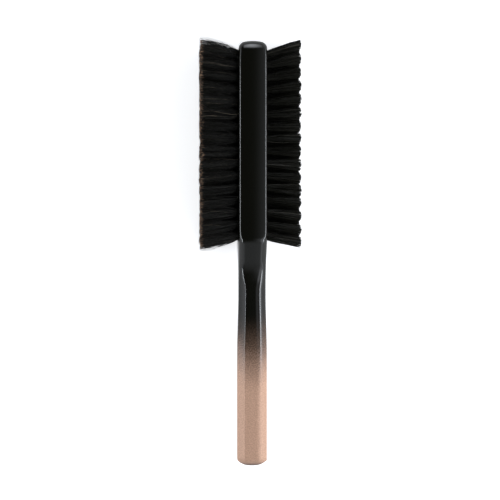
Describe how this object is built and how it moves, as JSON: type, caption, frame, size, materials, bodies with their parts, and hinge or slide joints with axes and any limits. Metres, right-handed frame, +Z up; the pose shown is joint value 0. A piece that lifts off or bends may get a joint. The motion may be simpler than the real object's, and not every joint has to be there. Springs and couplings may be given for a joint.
{
  "type": "double-sided club brush",
  "caption": "Double-sided hair brush: flat wooden head with soft bristle on one face, firm bristle on the other, and a faceted black to copper handle.",
  "frame": {"origin": "on the long edge of the head that the brush rests on, midway through the head's thickness and level with the middle of the bristle field", "axes": "+X the way the firm bristle points, +Y from the handle to the head's free end, +Z up across the head's width"},
  "size_m": [0.0513, 0.2203, 0.047],
  "materials": {
    "lacquered_wood": "satin-gloss black lacquer that fades into a satin copper paint towards the handle's end",
    "soft_bristle": "soft natural bristle, near black with brown tips",
    "firm_bristle": "firm black bristle with a satin sheen",
    "anchor_wire": "flat drawn wire"
  },
  "bodies": {
    "root": {"brush_body": "lacquered_wood", "soft_tufts_row_1": "soft_bristle", "soft_tufts_row_2": "soft_bristle", "soft_tufts_row_3": "soft_bristle", "soft_tufts_row_4": "soft_bristle", "soft_tufts_row_5": "soft_bristle", "soft_tufts_row_6": "soft_bristle", "soft_tufts_row_7": "soft_bristle", "firm_tufts_row_1": "firm_bristle", "firm_tufts_row_2": "firm_bristle", "firm_tufts_row_3": "firm_bristle", "firm_tufts_row_4": "firm_bristle", "firm_tufts_row_5": "firm_bristle", "firm_tufts_row_6": "firm_bristle", "firm_tufts_row_7": "firm_bristle", "soft_anchors_row_1": "anchor_wire", "soft_anchors_row_2": "anchor_wire", "soft_anchors_row_3": "anchor_wire", "soft_anchors_row_4": "anchor_wire", "soft_anchors_row_5": "anchor_wire", "soft_anchors_row_6": "anchor_wire", "soft_anchors_row_7": "anchor_wire", "firm_anchors_row_1": "anchor_wire", "firm_anchors_row_2": "anchor_wire", "firm_anchors_row_3": "anchor_wire", "firm_anchors_row_4": "anchor_wire", "firm_anchors_row_5": "anchor_wire", "firm_anchors_row_6": "anchor_wire", "firm_anchors_row_7": "anchor_wire"}
  },
  "joints": []
}
